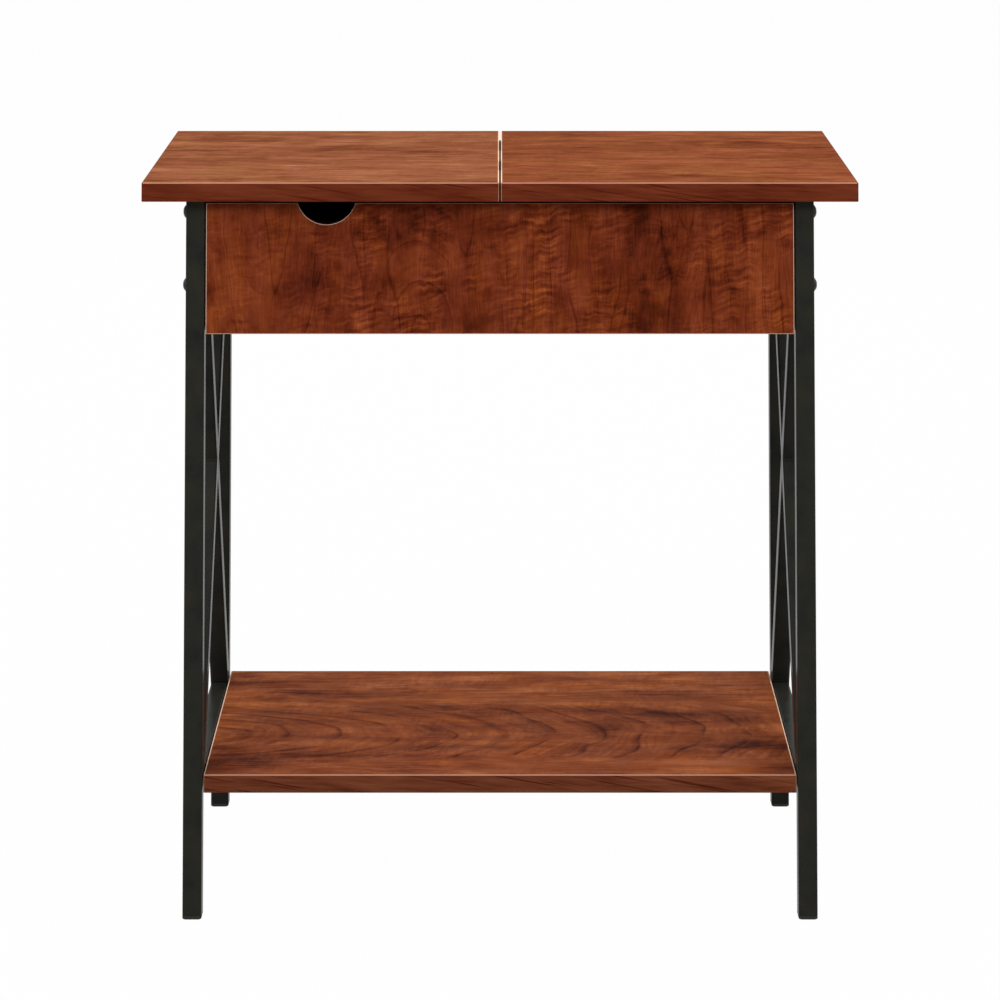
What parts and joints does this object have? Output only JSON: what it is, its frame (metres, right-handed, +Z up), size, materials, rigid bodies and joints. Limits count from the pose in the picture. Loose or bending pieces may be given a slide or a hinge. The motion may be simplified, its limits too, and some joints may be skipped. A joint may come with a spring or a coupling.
{
  "type": "flip-top side table",
  "caption": "Narrow side table with crossed steel side frames, a low shelf, and a storage box under a hinged half of its split top.",
  "frame": {"origin": "on the floor under the middle of the top", "axes": "+Z up; front with the finger notch faces -Y; the flap is on the -X side"},
  "size_m": [0.603, 0.286, 0.6118],
  "materials": {
    "cherry_top": "cherry woodgrain laminate, satin",
    "cherry_panel": "dark cherry woodgrain laminate, satin",
    "cherry_shelf": "cherry woodgrain laminate, satin",
    "backing_board": "brown faced fibreboard, matt",
    "black_frame": "black powder coat, satin",
    "foot_plastic": "black moulded polyethylene",
    "black_fastener": "black oxide",
    "zinc_nut": "bright zinc plate",
    "hinge_steel": "blackened steel",
    "beech_dowel": "raw beech"
  },
  "bodies": {
    "base": {"fixed_top": "cherry_top", "front_panel": "cherry_panel", "back_panel": "cherry_panel", "left_end_panel": "cherry_panel", "right_end_panel": "cherry_panel", "bottom_panel": "backing_board", "centre_divider": "cherry_panel", "shelf": "cherry_shelf", "front_left_leg": "black_frame", "front_right_leg": "black_frame", "rear_left_leg": "black_frame", "rear_right_leg": "black_frame", "left_lower_rail": "black_frame", "right_lower_rail": "black_frame", "left_upper_rail": "black_frame", "right_upper_rail": "black_frame", "left_full_brace": "black_frame", "left_upper_half_brace": "black_frame", "left_lower_half_brace": "black_frame", "right_full_brace": "black_frame", "right_upper_half_brace": "black_frame", "right_lower_half_brace": "black_frame", "front_left_foot": "foot_plastic", "front_right_foot": "foot_plastic", "rear_left_foot": "foot_plastic", "rear_right_foot": "foot_plastic", "front_left_upper_bolt": "black_fastener", "front_left_lower_bolt": "black_fastener", "front_right_upper_bolt": "black_fastener", "front_right_lower_bolt": "black_fastener", "rear_left_upper_bolt": "black_fastener", "rear_left_lower_bolt": "black_fastener", "rear_right_upper_bolt": "black_fastener", "rear_right_lower_bolt": "black_fastener", "front_left_upper_barrel_nut": "zinc_nut", "front_left_lower_barrel_nut": "zinc_nut", "front_right_upper_barrel_nut": "zinc_nut", "front_right_lower_barrel_nut": "zinc_nut", "rear_left_upper_barrel_nut": "zinc_nut", "rear_left_lower_barrel_nut": "zinc_nut", "rear_right_upper_barrel_nut": "zinc_nut", "rear_right_lower_barrel_nut": "zinc_nut", "front_left_shelf_screw": "black_fastener", "front_right_shelf_screw": "black_fastener", "rear_left_shelf_screw": "black_fastener", "rear_right_shelf_screw": "black_fastener", "front_top_screw": "black_fastener", "rear_top_screw": "black_fastener", "front_inner_dowel": "beech_dowel", "front_outer_dowel": "beech_dowel", "rear_inner_dowel": "beech_dowel", "rear_outer_dowel": "beech_dowel", "front_hinge_fixed_leaf": "hinge_steel", "front_hinge_pin": "hinge_steel", "rear_hinge_fixed_leaf": "hinge_steel", "rear_hinge_pin": "hinge_steel"},
    "flap": {"flip_top": "cherry_top", "front_hinge_flap_leaf": "hinge_steel", "rear_hinge_flap_leaf": "hinge_steel"}
  },
  "joints": [
    {"name": "flap_hinge", "type": "hinge", "parent": "base", "child": "flap", "pos_m": [0, 0, 0.6105], "axis": [0, 1, 0], "range_deg": [0, 180]}
  ]
}
